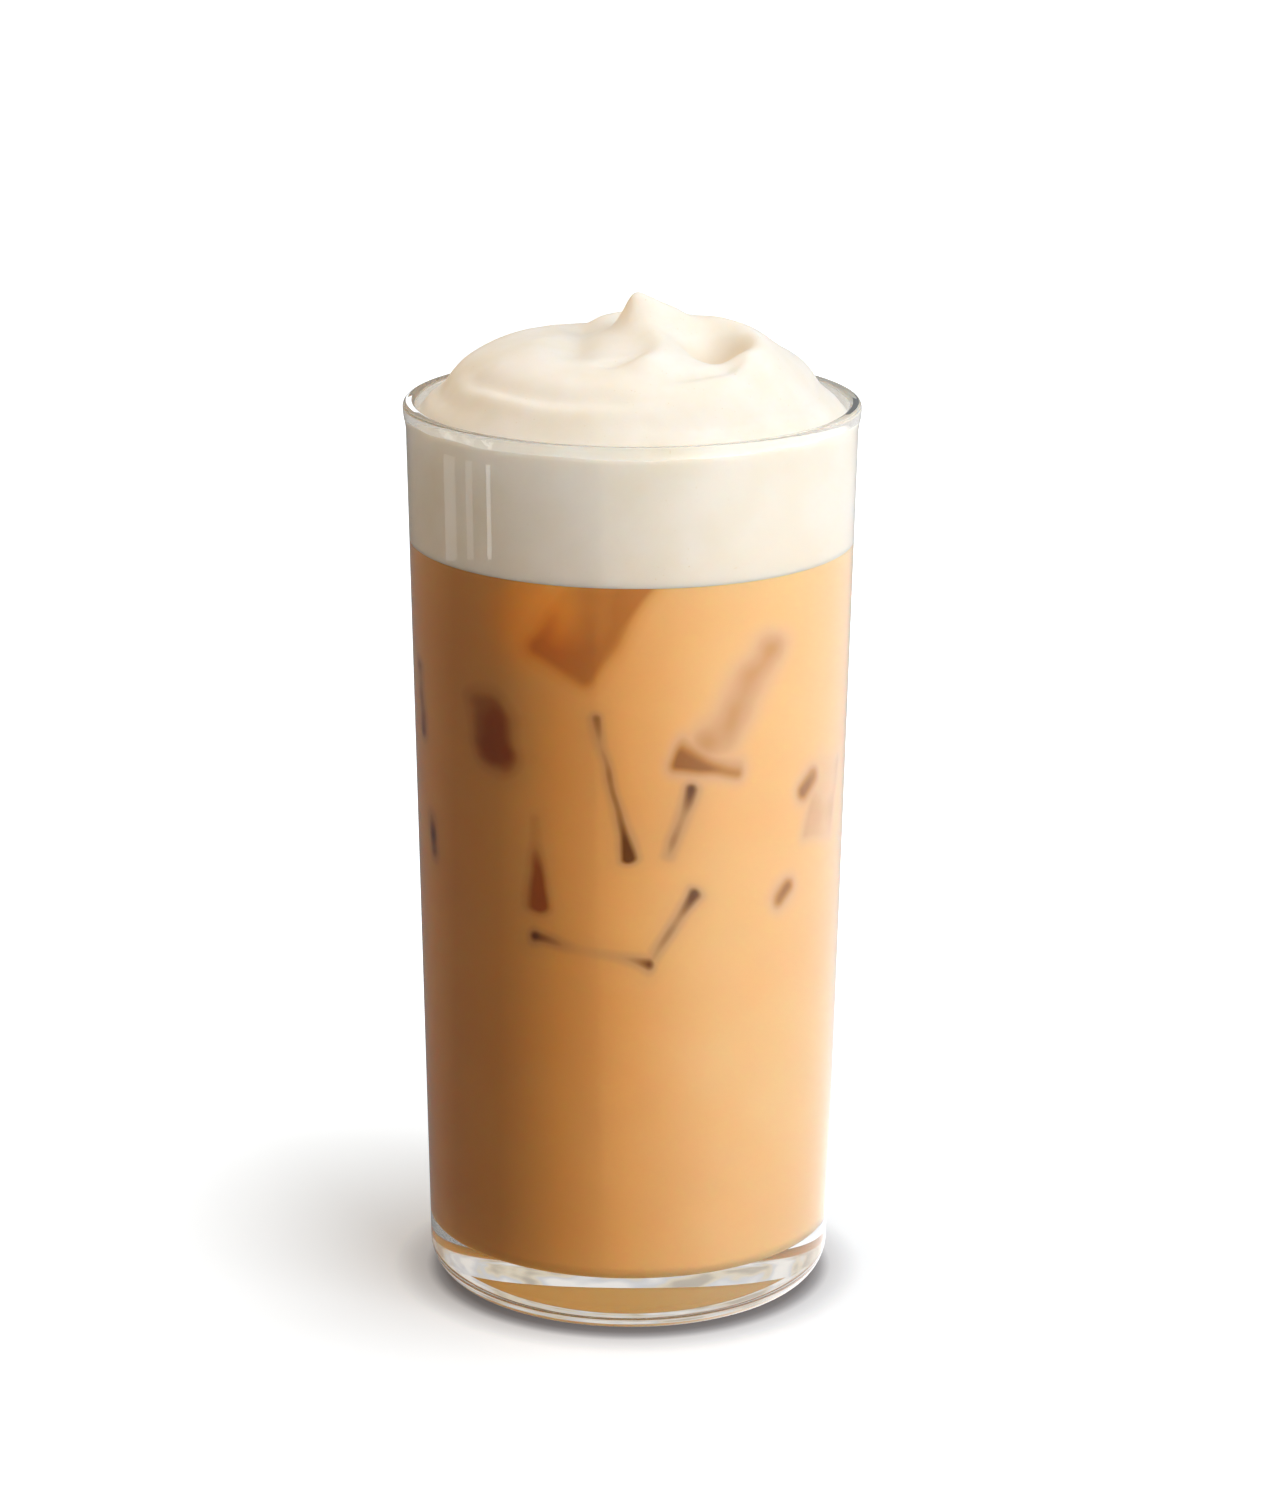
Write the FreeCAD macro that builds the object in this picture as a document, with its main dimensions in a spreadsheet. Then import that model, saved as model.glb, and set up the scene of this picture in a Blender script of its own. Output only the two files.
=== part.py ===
# Iced chai latte in its tumbler, topped with a swirled dome of cold foam.
# Millimetres. The origin is the middle of the foot, on the table, and +Z is up.
# +X is the right of the drink and -Y its front.
import FreeCAD, Part
import math
import os

import Sketcher
from FreeCAD import Vector

SIZES = [
    ("glass_height", 157.0, "table to rim"),
    ("rim_radius", 39.0, "widest outer radius, at the beaded lip"),
    ("lip_bead", 0.4, "how far the lip stands proud of the tapered wall"),
    ("lip_height", 4.0, "height of the lip's band"),
    ("lip_blend", 6.0, "radius where the wall runs into the lip"),
    ("lip_round", 0.8, "rounding of the rim's two edges"),
    ("base_radius", 35.0, "outer radius of the wall, run down to the table"),
    ("base_round", 6.0, "rounding of the outer bottom corner"),
    ("wall", 1.8, "thickness of the wall"),
    ("floor_thickness", 10.2, "solid glass under the drink"),
    ("floor_round", 2.5, "rounding inside, between floor and wall"),
    ("foot_width", 5.0, "width of the flat ring that the glass stands on"),
    ("punt_depth", 1.0, "depth of the hollow inside that ring"),
    ("foam_line", 24.1, "rim down to where drink meets foam"),
    ("foam_edge", 2.3, "rim down to where foam meets the wall"),
    ("skirt_rise", 4.0, "rise of the foam's skirt from its edge"),
    ("skirt_width", 5.2, "width of the skirt, from the wall inwards"),
    ("dome_rise", 10.6, "top of the dome over the rim"),
    ("dome_inset", 4.3, "wall to the foot of the dome"),
    ("heart_rise", 1.3, "swelling of the inner mass"),
    ("peak_rise", 6.5, "height of the peak over the swirl"),
    ("hollow_depth", 3.3, "depth of the hollow right of the peak"),
    ("grid_step", 1.5, "spacing of the points that the foam's top passes through"),
]

doc = FreeCAD.newDocument("iced_chai_latte")
sheet = doc.addObject("Spreadsheet::Sheet", "sizes")
for row, (alias, value, note) in enumerate(SIZES, start=1):
    sheet.set(f"A{row}", alias)
    sheet.set(f"B{row}", str(value))
    sheet.setAlias(f"B{row}", alias)
    sheet.set(f"C{row}", note)
doc.recompute()

# The wall leans out by this much for each millimetre of height, inside and outside alike.
TAPER = "(sizes.rim_radius - sizes.lip_bead - sizes.base_radius) / sizes.glass_height"
LEVEL = "(sizes.glass_height - sizes.foam_line)"
LIP_FOOT = "(sizes.glass_height - sizes.lip_height)"
PUNT_RADIUS = "(sizes.base_radius - sizes.base_round - sizes.foot_width)"


def outside(height):
    """Outer radius of the wall at a height, as an expression."""
    return f"sizes.base_radius + {TAPER} * ({height})"


def inside(height):
    """Inner radius of the wall at a height, as an expression."""
    return f"sizes.base_radius - sizes.wall + {TAPER} * ({height})"


def number(expression):
    """What an expression comes to now, in millimetres."""
    return float(sheet.evalExpression(expression))


# ---- Sketches and features that turn about the glass's axis

FRONT_PLANE = "XZ_Plane"
ORIGIN_POINT = (-1, 1)
ACROSS_AXIS, UP_AXIS = -1, -2
START, END, CENTRE = 1, 2, 3


def front_sketch(body, name):
    sketch = body.newObject("Sketcher::SketchObject", name)
    plane = next(f for f in body.Origin.OriginFeatures if f.Role == FRONT_PLANE)
    sketch.AttachmentSupport = [(plane, "")]
    sketch.MapMode = "FlatFace"
    return sketch


def hold_point(sketch, line, point, across, up):
    """Hold a point of the sketch at two expressions, where None is on the axis."""
    for kind, expression, axis in (("DistanceX", across, UP_AXIS), ("DistanceY", up, ACROSS_AXIS)):
        if expression is None:
            sketch.addConstraint(Sketcher.Constraint("PointOnObject", line, point, axis))
        else:
            held = Sketcher.Constraint(kind, *ORIGIN_POINT, line, point, number(expression))
            sketch.setExpression(f"Constraints[{sketch.addConstraint(held)}]", expression)


def outline(body, name, corners):
    """A closed sketch of straight lines through corners given as (radius, height) expressions."""
    sketch = front_sketch(body, name)
    places = [Vector(*(number(e) if e else 0.0 for e in corner)) for corner in corners]
    for start, end in zip(places, places[1:] + places[:1]):
        sketch.addGeometry(Part.LineSegment(start, end), False)
    for line in range(len(corners)):
        following = (line + 1) % len(corners)
        sketch.addConstraint(Sketcher.Constraint("Coincident", line, END, following, START))
    for line, (across, up) in enumerate(corners):
        hold_point(sketch, line, START, across, up)
    return sketch


def turned(body, kind, name, sketch):
    """A Revolution or a Groove of the sketch, all the way round the upright axis."""
    feature = body.newObject(f"PartDesign::{kind}", name)
    feature.Profile = sketch
    feature.ReferenceAxis = (sketch, ["V_Axis"])
    feature.Angle = 360
    doc.recompute()
    return feature


def rounded(body, name, radius, *rings):
    """A Fillet of the tip's circular edges that have the given (radius, height) expressions."""
    tip = body.Tip
    wanted = [tuple(number(e) if e else 0.0 for e in ring) for ring in rings]
    edges = [
        f"Edge{i}"
        for i, edge in enumerate(tip.Shape.Edges, start=1)
        if not edge.Degenerated and isinstance(edge.Curve, Part.Circle)
        and any(math.dist((edge.Curve.Radius, edge.Curve.Center.z), w) < 1e-4 for w in wanted)
    ]
    if len(edges) != len(wanted):
        raise SystemExit(f"{name}: found {len(edges)} of {len(wanted)} edges")
    fillet = body.newObject("PartDesign::Fillet", name)
    fillet.Base = (tip, edges)
    fillet.setExpression("Radius", radius)
    doc.recompute()
    return fillet


# ---- The glass: a pressed and blown tumbler with a heavy floor and a beaded lip

def make_glass():
    body = doc.addObject("PartDesign::Body", "glass_body")
    body.Label = "glass"
    blank = outline(body, "glass_blank", [
        (None, None),
        ("sizes.base_radius", None),
        (outside(LIP_FOOT), LIP_FOOT),
        ("sizes.rim_radius", "sizes.glass_height - sizes.lip_height / 2"),
        ("sizes.rim_radius", "sizes.glass_height"),
        (None, "sizes.glass_height"),
    ])
    solid = turned(body, "Revolution", "blank_turned", blank)

    cavity = outline(body, "cavity", [
        (None, "sizes.floor_thickness"),
        (inside("sizes.floor_thickness"), "sizes.floor_thickness"),
        (inside("sizes.glass_height"), "sizes.glass_height"),
        (None, "sizes.glass_height"),
    ])
    hollowed = turned(body, "Groove", "cavity_cut", cavity)

    # The punt is a shallow cap of a sphere.
    punt = front_sketch(body, "punt")
    reach, depth = number(PUNT_RADIUS), number("sizes.punt_depth")
    sphere = (reach**2 + depth**2) / (2 * depth)
    centre = Vector(0, depth - sphere)
    first = math.atan2(-centre.y, reach)
    circle = Part.Circle(centre, Vector(0, 0, 1), sphere)
    punt.addGeometry(Part.ArcOfCircle(circle, first, math.pi / 2), False)
    punt.addGeometry(Part.LineSegment(Vector(0, depth), Vector(0, 0)), False)
    punt.addGeometry(Part.LineSegment(Vector(0, 0), Vector(reach, 0)), False)
    for line, following in ((0, 1), (1, 2), (2, 0)):
        punt.addConstraint(Sketcher.Constraint("Coincident", line, END, following, START))
    punt.addConstraint(Sketcher.Constraint("PointOnObject", 0, CENTRE, UP_AXIS))
    hold_point(punt, 0, START, PUNT_RADIUS, None)
    hold_point(punt, 1, START, None, "sizes.punt_depth")
    hold_point(punt, 2, START, None, None)
    dished = turned(body, "Groove", "punt_cut", punt)

    volumes = [feature.Shape.Volume for feature in (solid, hollowed, dished)]
    if not volumes[0] > volumes[1] > volumes[2] > 0:
        raise SystemExit(f"a groove of the glass cut nothing: {volumes}")

    rounded(body, "bottom_corner", "sizes.base_round", ("sizes.base_radius", None))
    rounded(body, "floor_corner", "sizes.floor_round",
            (inside("sizes.floor_thickness"), "sizes.floor_thickness"))
    rounded(body, "lip_foot", "sizes.lip_blend", (outside(LIP_FOOT), LIP_FOOT))
    rounded(body, "lip_edges", "min(sizes.lip_round; 0.45 * sizes.wall)",
            ("sizes.rim_radius", "sizes.glass_height"),
            (inside("sizes.glass_height"), "sizes.glass_height"))
    return body


# ---- The chai: it fills the glass from the floor to the foam, against the wall all round

def make_chai():
    body = doc.addObject("PartDesign::Body", "chai_body")
    body.Label = "chai"
    column = outline(body, "chai_column", [
        (None, "sizes.floor_thickness"),
        (inside("sizes.floor_thickness"), "sizes.floor_thickness"),
        (inside(LEVEL), LEVEL),
        (None, LEVEL),
    ])
    turned(body, "Revolution", "chai_turned", column)
    rounded(body, "chai_corner", "sizes.floor_round",
            (inside("sizes.floor_thickness"), "sizes.floor_thickness"))
    return body


# ---- The foam: poured and swirled, it fills the top of the glass and stands over the rim

# Heights here are millimetres over the rim, and places are shares of the mouth's radius.
# The dome is flat on top and steep at its foot, where it blends into the skirt.
DOME_SHOULDER, DOME_FLANK = 4.6, 0.60
SKIRT_BLEND = 2.5
# A swelling or a hollow: its place, and its half widths across and from front to back.
HEART = ((-0.01, -0.08), (0.26, 0.28))
HOLLOW = ((0.39, -0.20), (0.13, 0.19))
# The peak is steep on its left and runs out long on its right: half width and power of each.
PEAK = (0.025, 0.05)
PEAK_LEFT, PEAK_RIGHT, PEAK_DEEP = (0.085, 2.2), (0.23, 1.5), (0.10, 2.0)
# Each path runs through (x, y) places.
# A ridge: path, rise, half width, and the share of its length that it takes to fade at each end.
RIDGES = [
    # the fold that runs from the peak down the front
    ([(0.03, 0.03), (0.09, -0.14), (0.14, -0.33), (0.11, -0.49), (-0.05, -0.62)], 1.5, 3.4, 0.2),
    # the rim of the hollow, round its back and right
    ([(0.03, 0.11), (0.16, 0.18), (0.33, 0.18), (0.47, 0.08), (0.57, -0.11), (0.56, -0.33),
      (0.41, -0.51)], 2.5, 4.4, 0.15),
    # the outer roll on the left
    ([(-0.39, 0.16), (-0.45, -0.08), (-0.42, -0.30), (-0.30, -0.57)], 0.35, 3.4, 0.35),
    # the roll that the skirt swells into, round the front left
    ([(-0.84, -0.08), (-0.76, -0.40), (-0.55, -0.67), (-0.27, -0.83), (0.05, -0.87),
      (0.35, -0.80)], 1.5, 1.9, 0.35),
    # the back of the inner mass
    ([(-0.21, 0.22), (-0.10, 0.40), (0.08, 0.46), (0.26, 0.38)], 1.9, 4.2, 0.25),
]
# A crease: path, depth, half width, and the shares that it takes to fade at its start and end.
CREASES = [
    # under the front of the inner mass
    ([(0.08, -0.44), (-0.06, -0.51), (-0.20, -0.52)], 0.9, 1.0, 0.35, 0.35),
    # the valley between the outer roll and the inner mass, over the top and down the back
    ([(-0.18, -0.50), (-0.24, -0.36), (-0.25, -0.15), (-0.24, 0.08), (-0.23, 0.33), (-0.16, 0.57),
      (0.02, 0.70)], 1.2, 3.2, 0.2, 0.4),
    # under the last fold, at the front right
    ([(0.03, -0.70), (0.19, -0.64), (0.31, -0.57), (0.43, -0.48), (0.54, -0.35)], 1.1, 1.1, 0.45, 0.3),
    # between the dome and the skirt's roll
    ([(-0.80, -0.02), (-0.71, -0.36), (-0.52, -0.61), (-0.26, -0.76), (0.02, -0.80),
      (0.28, -0.75)], 0.9, 1.9, 0.25, 0.45),
    # where the last of the foam was laid down, at the back right
    ([(0.66, 0.02), (0.57, 0.32), (0.36, 0.56), (0.13, 0.66)], 0.9, 2.0, 0.35, 0.35),
]
CURVE_STEPS = 6


def smooth_step(share):
    share = min(1.0, max(0.0, share))
    return share * share * (3 - 2 * share)


def smooth_max(first, second, blend):
    near = max(blend - abs(first - second), 0.0) / blend
    return max(first, second) + near * near * blend / 4


def curve_through(places):
    """A Catmull-Rom curve through the places, as short straight runs."""
    padded = [places[0]] + list(places) + [places[-1]]
    curve = []
    for a, b, c, d in zip(padded, padded[1:], padded[2:], padded[3:]):
        for step in range(CURVE_STEPS):
            t = step / CURVE_STEPS
            curve.append(tuple(
                b[i] + t * (c[i] - a[i]) / 2
                + t * t * (a[i] - 2.5 * b[i] + 2 * c[i] - d[i] / 2)
                + t ** 3 * (1.5 * (b[i] - c[i]) + (d[i] - a[i]) / 2)
                for i in (0, 1)))
    return curve + [places[-1]]


def nearest(curve, x, y):
    """Distance from a place to the curve, and how far along the curve that is, from 0 to 1."""
    runs = list(zip(curve, curve[1:]))
    lengths = [math.dist(a, b) for a, b in runs]
    best = (math.inf, 0.0)
    before = 0.0
    for (a, b), length in zip(runs, lengths):
        ahead = ((b[0] - a[0]) / length, (b[1] - a[1]) / length)
        along = min(length, max(0.0, (x - a[0]) * ahead[0] + (y - a[1]) * ahead[1]))
        gap = math.hypot(x - a[0] - ahead[0] * along, y - a[1] - ahead[1] * along)
        best = min(best, (gap, before + along))
        before += length
    return best[0], best[1] / before


def mound(u, v, place, reach):
    across, deep = (u - place[0]) / reach[0], (v - place[1]) / reach[1]
    return math.exp(-(across**2 + deep**2) ** 1.5)


def foam_height():
    """A function that gives the height of the foam over the rim at (x, y)."""
    mouth = number(inside("sizes.glass_height"))
    edge, rise = number("sizes.foam_edge"), number("sizes.skirt_rise")
    width, inset = number("sizes.skirt_width"), number("sizes.dome_inset")
    dome_top, heart = number("sizes.dome_rise"), number("sizes.heart_rise")
    peak, hollow = number("sizes.peak_rise"), number("sizes.hollow_depth")
    dome_foot = mouth - inset

    def spread(path):
        return curve_through([(x * mouth, y * mouth) for x, y in path])

    ridges = [(spread(path), *rest) for path, *rest in RIDGES]
    creases = [(spread(path), *rest) for path, *rest in CREASES]

    def height(x, y):
        from_axis = math.hypot(x, y)
        share = min(1.0, max(-1.0, (mouth - from_axis) / width))
        skirt = rise * math.sin(share * math.pi / 2) - edge
        left = 1 - (from_axis / dome_foot) ** DOME_SHOULDER
        dome = dome_top * left**DOME_FLANK if left > 0 else -2 * rise
        z = smooth_max(skirt, dome, SKIRT_BLEND)

        u, v = x / mouth, y / mouth
        z += heart * mound(u, v, *HEART) - hollow * mound(u, v, *HOLLOW)
        for curve, lift, half, fade in ridges:
            gap, at = nearest(curve, x, y)
            ends = smooth_step(at / fade) * smooth_step((1 - at) / fade)
            z += lift * math.exp(-(gap / half) ** 2) * ends
        for curve, depth, half, fade_in, fade_out in creases:
            gap, at = nearest(curve, x, y)
            ends = smooth_step(at / fade_in) * smooth_step((1 - at) / fade_out)
            z -= depth * math.exp(-(gap / half) ** 1.5) * ends

        u, v = u - PEAK[0], v - PEAK[1]
        slopes = ((u, PEAK_LEFT if u < 0 else PEAK_RIGHT), (v, PEAK_DEEP))
        return z + peak * math.exp(-sum(abs(away / half) ** power for away, (half, power) in slopes))

    return height


def make_foam():
    mouth = number(inside("sizes.glass_height"))
    rim = number("sizes.glass_height")
    height = foam_height()

    # The top is one smooth surface over a square a little wider than the mouth.
    half = mouth + number("sizes.grid_step")
    count = 2 * math.ceil(half / number("sizes.grid_step")) + 1
    marks = [half * (2 * i / (count - 1) - 1) for i in range(count)]
    top = Part.BSplineSurface()
    top.interpolate([[Vector(x, y, rim + height(x, y)) for y in marks] for x in marks])
    below = number("sizes.foam_line") + number("sizes.peak_rise") + number("sizes.dome_rise")
    swirl = doc.addObject("Part::Feature", "swirl")
    swirl.Label = "swirl_down_to_the_drink"
    swirl.Shape = top.toShape().extrude(Vector(0, 0, -2 * below))

    # The cavity's own cone, carried up past the peak, bounds the foam.
    room = "2 * sizes.foam_line + sizes.dome_rise + sizes.peak_rise"
    bound = doc.addObject("Part::Cone", "bound")
    bound.Label = "cavity_above_the_drink"
    bound.setExpression("Radius1", inside(LEVEL))
    bound.setExpression("Radius2", inside(f"{LEVEL} + {room}"))
    bound.setExpression("Height", room)
    bound.setExpression("Placement.Base.z", LEVEL)

    foam = doc.addObject("Part::Common", "foam_common")
    foam.Label = "foam"
    foam.Base = bound
    foam.Tool = swirl
    return foam


parts = [make_glass(), make_chai(), make_foam()]
doc.recompute()

for thing in doc.Objects:
    if {"Invalid", "Error"} & set(thing.State):
        raise SystemExit(f"{thing.Label} failed: {thing.State}")
for part in parts:
    if part.Shape.isNull() or not part.Shape.isValid() or len(part.Shape.Solids) != 1:
        raise SystemExit(f"{part.Label} is not one valid solid")

os.makedirs("parts", exist_ok=True)
for part in parts:
    part.Shape.exportStep(f"parts/{part.Label}.step")
    box = part.Shape.BoundBox
    print(f"{part.Label}: {part.Shape.Volume / 1000:.1f} cm3, z {box.ZMin:.2f} to {box.ZMax:.2f} mm")
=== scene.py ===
# Iced chai latte in its tumbler, topped with a swirled dome of cold foam.
# Metres. The origin is the middle of the foot, on the table, and +Z is up.
# +X is the right of the drink and -Y its front.
import math

import bmesh
import bpy
from mathutils import Matrix, Vector


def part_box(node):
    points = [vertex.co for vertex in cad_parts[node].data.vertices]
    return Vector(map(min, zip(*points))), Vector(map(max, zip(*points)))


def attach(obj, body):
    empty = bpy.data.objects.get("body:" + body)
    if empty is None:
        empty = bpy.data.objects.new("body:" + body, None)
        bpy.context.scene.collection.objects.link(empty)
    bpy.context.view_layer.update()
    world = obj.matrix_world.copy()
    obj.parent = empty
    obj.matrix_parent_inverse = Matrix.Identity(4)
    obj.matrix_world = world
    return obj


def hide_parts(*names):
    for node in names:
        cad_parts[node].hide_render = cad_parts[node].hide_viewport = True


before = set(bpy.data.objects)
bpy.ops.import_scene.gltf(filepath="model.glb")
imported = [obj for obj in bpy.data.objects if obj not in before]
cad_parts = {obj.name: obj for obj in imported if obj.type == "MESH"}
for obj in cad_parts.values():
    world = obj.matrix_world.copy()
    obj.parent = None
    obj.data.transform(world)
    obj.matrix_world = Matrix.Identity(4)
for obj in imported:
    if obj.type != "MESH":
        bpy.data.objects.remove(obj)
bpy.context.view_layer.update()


# ---- The tumbler
# A clear soda-lime glass, pressed and blown in one piece: a heavy floor, a thin wall that leans
# out a little, and a beaded lip. It stands on a flat ring round a shallow punt.

MM = 0.001
ROUND = 256
TABLE_HEIGHT = 0.0
RIM_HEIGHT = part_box("glass")[1].z
RIM_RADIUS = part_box("glass")[1].x
FLOOR_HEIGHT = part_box("chai")[0].z
LEVEL_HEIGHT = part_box("chai")[1].z
LEVEL_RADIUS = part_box("chai")[1].x
BASE_RADIUS = 35 * MM
WALL = 1.8 * MM
LEAN = (LEVEL_RADIUS + WALL - BASE_RADIUS) / LEVEL_HEIGHT
LIP_HEIGHT = 4.0 * MM
LIP_ROUND = 0.8 * MM
LIP_FOOT_BEVEL = 0.9 * MM
BASE_ROUND = 6.0 * MM
FLOOR_ROUND = 2.5 * MM
FOOT_WIDTH = 5.0 * MM
PUNT_DEPTH = 1.0 * MM
PUNT_RINGS = 6
AXIS_NEAR = 1.0 * MM


def outside(height):
    """Outer radius of the wall at a height."""
    return BASE_RADIUS + LEAN * height


def inside(height):
    """Inner radius of the wall at a height."""
    return outside(height) - WALL


def placed(name):
    """Name the new primitive and put its place into its mesh."""
    piece = bpy.context.object
    piece.name = name
    piece.data.name = name
    bpy.ops.object.transform_apply(location=True, rotation=True, scale=True)
    return piece


def open_mesh(piece):
    """Open a piece for editing, alone and with nothing on it selected."""
    bpy.ops.object.select_all(action="DESELECT")
    piece.select_set(True)
    bpy.context.view_layer.objects.active = piece
    bpy.ops.object.mode_set(mode="EDIT")
    bpy.ops.mesh.select_all(action="DESELECT")


def close_mesh():
    """Close the piece that is open for editing."""
    bpy.ops.object.mode_set(mode="OBJECT")


def pick_faces(test):
    """Select the faces of the open piece whose middle and normal pass a test, and no others."""
    bpy.ops.mesh.select_mode(type="FACE")
    bpy.ops.mesh.select_all(action="DESELECT")
    mesh = bmesh.from_edit_mesh(bpy.context.object.data)
    for face in mesh.faces:
        face.select_set(test(face.calc_center_median(), face.normal))
    bmesh.update_edit_mesh(bpy.context.object.data)


def pick_ring(*heights_and_radii):
    """Select the rings of edges at the given (height, radius) pairs, and no others."""
    near = 0.05 * MM
    bpy.ops.mesh.select_mode(type="EDGE")
    bpy.ops.mesh.select_all(action="DESELECT")
    mesh = bmesh.from_edit_mesh(bpy.context.object.data)
    for edge in mesh.edges:
        edge.select_set(any(
            all(abs(v.co.z - z) < near and abs(v.co.xy.length - r) < near for v in edge.verts)
            for z, r in heights_and_radii))
    bmesh.update_edit_mesh(bpy.context.object.data)


def scale_across(share):
    """Scale what is selected towards or away from the upright axis."""
    bpy.ops.transform.resize(value=(share, share, 1), center_override=(0, 0, 0))


def finish_with(piece, kind, **settings):
    """Give a piece a modifier and apply it."""
    bpy.ops.object.select_all(action="DESELECT")
    piece.select_set(True)
    bpy.context.view_layer.objects.active = piece
    modifier = piece.modifiers.new(kind.lower(), kind)
    for name, value in settings.items():
        setattr(modifier, name, value)
    bpy.ops.object.modifier_apply(modifier=modifier.name)


bpy.ops.object.select_all(action="DESELECT")
bpy.ops.mesh.primitive_cone_add(
    vertices=ROUND, radius1=BASE_RADIUS, radius2=outside(RIM_HEIGHT), depth=RIM_HEIGHT,
    location=(0, 0, RIM_HEIGHT / 2))
tumbler = placed("tumbler")
open_mesh(tumbler)

# The lip stands proud of the wall.
lip_foot, lip_middle = RIM_HEIGHT - LIP_HEIGHT, RIM_HEIGHT - LIP_HEIGHT / 2
for height in (lip_foot, lip_middle):
    bpy.ops.mesh.select_all(action="SELECT")
    bpy.ops.mesh.bisect(plane_co=(0, 0, height), plane_no=(0, 0, 1))
for height in (lip_middle, RIM_HEIGHT):
    pick_ring((height, outside(height)))
    scale_across(RIM_RADIUS / outside(height))

# The cavity goes down from the rim to the floor.
pick_faces(lambda middle, normal: normal.z > 0.9)  # the blank's flat top
bpy.ops.mesh.inset(thickness=RIM_RADIUS - inside(RIM_HEIGHT))
bpy.ops.mesh.extrude_region_move(
    TRANSFORM_OT_translate={"value": (0, 0, FLOOR_HEIGHT - RIM_HEIGHT)})
scale_across(inside(FLOOR_HEIGHT) / inside(RIM_HEIGHT))

# Every corner is fire-polished round.
for ring, offset, segments in (
        ((FLOOR_HEIGHT, inside(FLOOR_HEIGHT)), FLOOR_ROUND, 7),
        ((TABLE_HEIGHT, BASE_RADIUS), BASE_ROUND, 12),
        ((RIM_HEIGHT, RIM_RADIUS), LIP_ROUND, 5),
        ((RIM_HEIGHT, inside(RIM_HEIGHT)), LIP_ROUND, 5),
        ((lip_foot, outside(lip_foot)), LIP_FOOT_BEVEL, 5),
        ((lip_middle, RIM_RADIUS), LIP_FOOT_BEVEL, 5)):
    pick_ring(ring)
    bpy.ops.mesh.bevel(offset=offset, segments=segments, profile=0.5, affect="EDGES")

# The punt is a shallow dome inside the foot's ring.
pick_faces(lambda middle, normal: middle.xy.length < AXIS_NEAR and normal.z < 0)
bpy.ops.mesh.inset(thickness=FOOT_WIDTH)
punt_step = 1 / (PUNT_RINGS + 1)
for ring in range(PUNT_RINGS):
    bpy.ops.mesh.inset(thickness=(BASE_RADIUS - BASE_ROUND - FOOT_WIDTH) * punt_step)
    before, after = 1 - ring * punt_step, 1 - (ring + 1) * punt_step
    bpy.ops.transform.translate(value=(0, 0, PUNT_DEPTH * (before**2 - after**2)))
bpy.ops.mesh.poke()
pick_faces(lambda middle, normal: middle.xy.length < AXIS_NEAR and normal.z > 0)
bpy.ops.mesh.inset(thickness=FOOT_WIDTH)
bpy.ops.mesh.poke()
bpy.ops.mesh.select_all(action="SELECT")
bpy.ops.mesh.normals_make_consistent(inside=False)
close_mesh()
bpy.ops.object.shade_smooth()
finish_with(tumbler, "WEIGHTED_NORMAL", keep_sharp=True)


def new_material(name):
    """A new material, its empty node tree and its output."""
    material = bpy.data.materials.new(name)
    material.use_nodes = True
    tree = material.node_tree
    tree.nodes.clear()
    output = tree.nodes.new("ShaderNodeOutputMaterial")
    return material, tree, output


def add(tree, kind, settings=(), **sockets):
    """Add a node with settings and socket values. A socket's value may be another node's output."""
    node = tree.nodes.new(kind)
    for name, value in dict(settings).items():
        setattr(node, name, value)
    for name, value in sockets.items():
        key = int(name[1:]) if name[1:].isdigit() and name[0] == "i" else name.replace("_", " ")
        if isinstance(value, bpy.types.NodeSocket):
            tree.links.new(value, node.inputs[key])
        else:
            node.inputs[key].default_value = value
    return node


def maths(tree, operation, *values, clamp=False):
    """The result of one step of arithmetic on numbers or sockets."""
    sockets = {f"i{index}": value for index, value in enumerate(values)}
    return add(tree, "ShaderNodeMath", {"operation": operation, "use_clamp": clamp}, **sockets).outputs[0]


def vector_maths(tree, operation, *values, result="Vector"):
    """The result of one step of arithmetic on places, directions or sockets."""
    sockets = {f"i{index}": value for index, value in enumerate(values)}
    return add(tree, "ShaderNodeVectorMath", {"operation": operation}, **sockets).outputs[result]


def scaled(tree, vector, scale):
    """A vector times a number."""
    return add(tree, "ShaderNodeVectorMath", {"operation": "SCALE"}, i0=vector, Scale=scale).outputs["Vector"]


def mapped(tree, value, low, high, to=(0.0, 1.0), smooth=False):
    """A value brought from low..high to another range, and kept within it."""
    kind = "SMOOTHSTEP" if smooth else "LINEAR"
    return add(tree, "ShaderNodeMapRange", {"interpolation_type": kind}, Value=value, From_Min=low,
               From_Max=high, To_Min=to[0], To_Max=to[1]).outputs[0]


def noise(tree, place, scale, detail=2.0, output="Fac"):
    """Soft noise, with so many patches for each unit of the place."""
    return add(tree, "ShaderNodeTexNoise", Vector=place, Scale=scale, Detail=detail).outputs[output]


def along(tree, vector, axis):
    """One of a vector's three parts."""
    return add(tree, "ShaderNodeSeparateXYZ", Vector=vector).outputs[axis]


def millimetres(tree):
    """The place on the piece, in millimetres."""
    return scaled(tree, add(tree, "ShaderNodeTexCoord").outputs["Object"], 1 / MM)


def ramp(tree, share, stops):
    """A colour ramp through (place, colour) stops."""
    node = add(tree, "ShaderNodeValToRGB", Fac=share)
    band = node.color_ramp
    while len(band.elements) < len(stops):
        band.elements.new(1.0)
    for element, (place, colour) in zip(band.elements, stops):
        element.position = place
        element.color = (*colour, 1)
    return node.outputs["Color"]


THICK_GLASS = (0.90, 0.875, 0.83)
THIN_GLASS = (0.985, 0.99, 0.985)
BASE_TOP, WALL_START = 5.0, 11.0  # where the thick base ends and the thin wall begins, in mm
MOST_BOUNCES = 4.5  # past these a ray goes straight on, so that the lip and the base stay clear

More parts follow.
